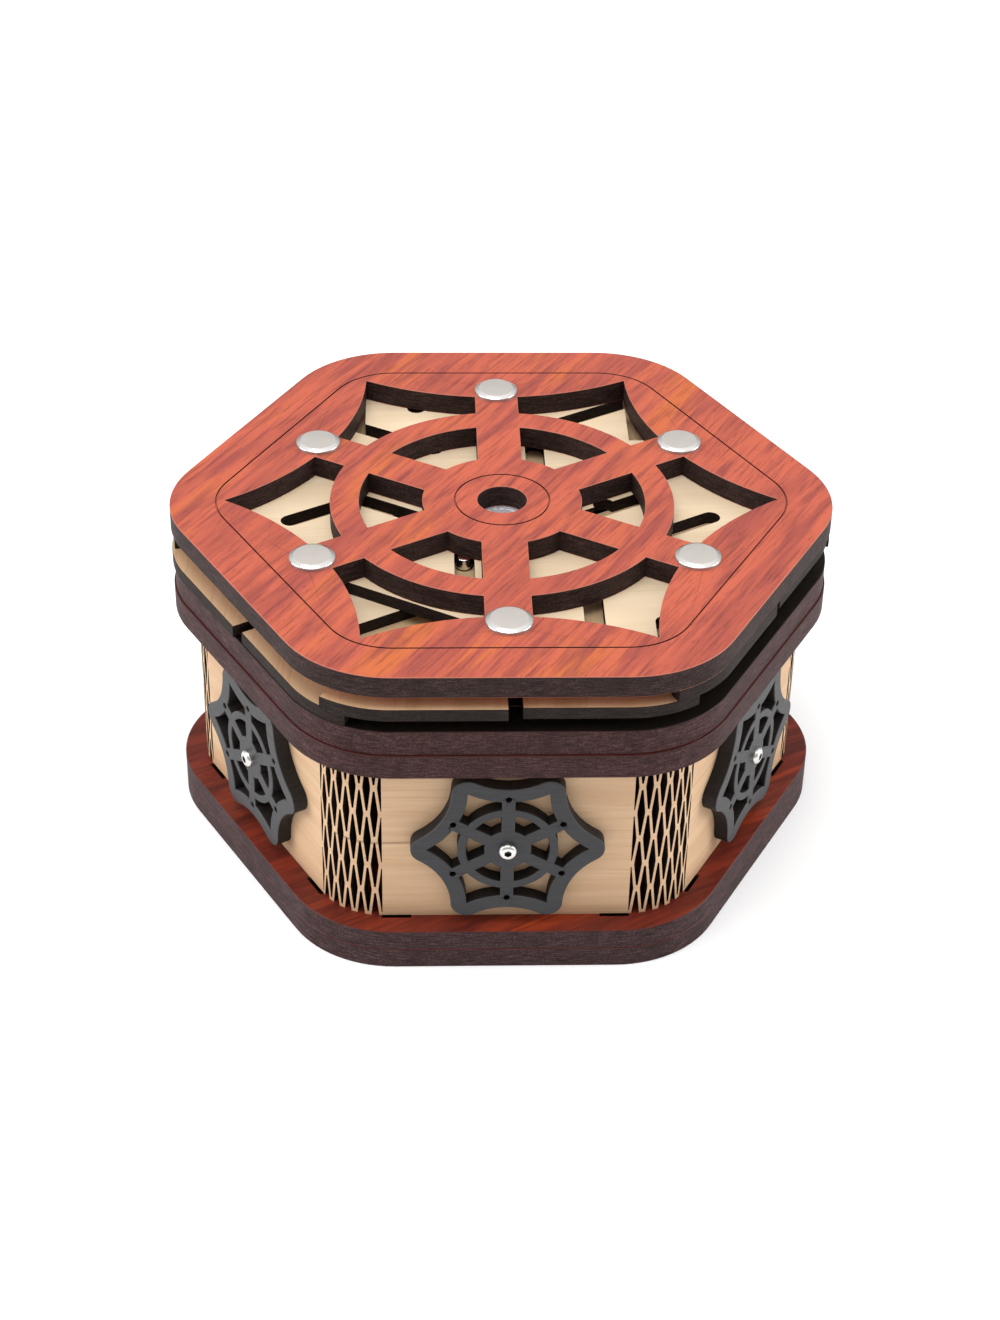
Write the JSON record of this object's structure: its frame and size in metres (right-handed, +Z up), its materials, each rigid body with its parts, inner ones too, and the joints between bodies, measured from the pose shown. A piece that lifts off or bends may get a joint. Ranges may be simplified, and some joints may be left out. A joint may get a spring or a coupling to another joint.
{
  "type": "puzzle box",
  "caption": "Hexagonal wooden puzzle box with a bent lattice-cornered wall, turning rosette locks on its sides and a pierced star lid over sliding leaves.",
  "frame": {"origin": "centre of the underside, on the surface the box rests on", "axes": "+Z up, +X to the right towards a corner of the hexagon, the front side faces -Y"},
  "size_m": [0.1468, 0.1338, 0.079],
  "materials": {
    "padauk": "polished, oiled",
    "maple": "satin",
    "dark_wood": "satin",
    "steel": "satin",
    "polished_steel": "polished"
  },
  "bodies": {
    "box": {"base_underplate": "padauk", "base_plate": "padauk", "side_wall": "maple", "body_rim": "padauk"},
    "lid": {"lid_base_plate": "padauk", "runner_plate": "maple", "mid_rail": "maple", "guide_plate": "maple", "lid_plate": "padauk", "post_spacers": "steel", "lid_screws": "polished_steel", "lid_screw_caps": "polished_steel", "centre_disc": "steel", "lock_tab_1": "maple", "lock_tab_2": "maple", "lock_tab_3": "maple", "lock_tab_4": "maple", "lock_tab_5": "maple", "lock_tab_6": "maple"},
    "slider_1": {"slider_1_main_leaf": "maple", "slider_1_side_leaf": "maple", "slider_1_pin": "steel"},
    "slider_2": {"slider_2_main_leaf": "maple", "slider_2_side_leaf": "maple", "slider_2_pin": "steel"},
    "slider_3": {"slider_3_main_leaf": "maple", "slider_3_side_leaf": "maple", "slider_3_pin": "steel"},
    "slider_4": {"slider_4_main_leaf": "maple", "slider_4_side_leaf": "maple", "slider_4_pin": "steel"},
    "slider_5": {"slider_5_main_leaf": "maple", "slider_5_side_leaf": "maple", "slider_5_pin": "steel"},
    "slider_6": {"slider_6_main_leaf": "maple", "slider_6_side_leaf": "maple", "slider_6_pin": "steel"},
    "rosette_1": {"rosette_1": "dark_wood", "rosette_1_screw": "polished_steel", "rosette_1_lock_bar": "steel"},
    "rosette_2": {"rosette_2": "dark_wood", "rosette_2_screw": "polished_steel", "rosette_2_lock_bar": "steel"},
    "rosette_3": {"rosette_3": "dark_wood", "rosette_3_screw": "polished_steel", "rosette_3_lock_bar": "steel"},
    "rosette_4": {"rosette_4": "dark_wood", "rosette_4_screw": "polished_steel", "rosette_4_lock_bar": "steel"},
    "rosette_5": {"rosette_5": "dark_wood", "rosette_5_screw": "polished_steel", "rosette_5_lock_bar": "steel"},
    "rosette_6": {"rosette_6": "dark_wood", "rosette_6_screw": "polished_steel", "rosette_6_lock_bar": "steel"}
  },
  "joints": [
    {"name": "lid_lift", "type": "slide", "parent": "box", "child": "lid", "axis": [0, 0, 1], "range_m": [0, 0.045]},
    {"name": "slider_1_slide", "type": "slide", "parent": "lid", "child": "slider_1", "axis": [0.866, 0.5, 0], "range_m": [0, 0.006]},
    {"name": "slider_2_slide", "type": "slide", "parent": "lid", "child": "slider_2", "axis": [0, 1, 0], "range_m": [0, 0.006]},
    {"name": "slider_3_slide", "type": "slide", "parent": "lid", "child": "slider_3", "axis": [-0.866, 0.5, 0], "range_m": [0, 0.006]},
    {"name": "slider_4_slide", "type": "slide", "parent": "lid", "child": "slider_4", "axis": [-0.866, -0.5, 0], "range_m": [0, 0.006]},
    {"name": "slider_5_slide", "type": "slide", "parent": "lid", "child": "slider_5", "axis": [0, -1, 0], "range_m": [0, 0.006]},
    {"name": "slider_6_slide", "type": "slide", "parent": "lid", "child": "slider_6", "axis": [0.866, -0.5, 0], "range_m": [0, 0.006]},
    {"name": "rosette_1_turn", "type": "hinge", "parent": "box", "child": "rosette_1", "pos_m": [0.053, 0.0306, 0.031], "axis": [0.866, 0.5, 0], "continuous": true},
    {"name": "rosette_2_turn", "type": "hinge", "parent": "box", "child": "rosette_2", "pos_m": [0, 0.0612, 0.031], "axis": [0, 1, 0], "continuous": true},
    {"name": "rosette_3_turn", "type": "hinge", "parent": "box", "child": "rosette_3", "pos_m": [-0.053, 0.0306, 0.031], "axis": [-0.866, 0.5, 0], "continuous": true},
    {"name": "rosette_4_turn", "type": "hinge", "parent": "box", "child": "rosette_4", "pos_m": [-0.053, -0.0306, 0.031], "axis": [-0.866, -0.5, 0], "continuous": true},
    {"name": "rosette_5_turn", "type": "hinge", "parent": "box", "child": "rosette_5", "pos_m": [0, -0.0612, 0.031], "axis": [0, -1, 0], "continuous": true},
    {"name": "rosette_6_turn", "type": "hinge", "parent": "box", "child": "rosette_6", "pos_m": [0.053, -0.0306, 0.031], "axis": [0.866, -0.5, 0], "continuous": true}
  ]
}
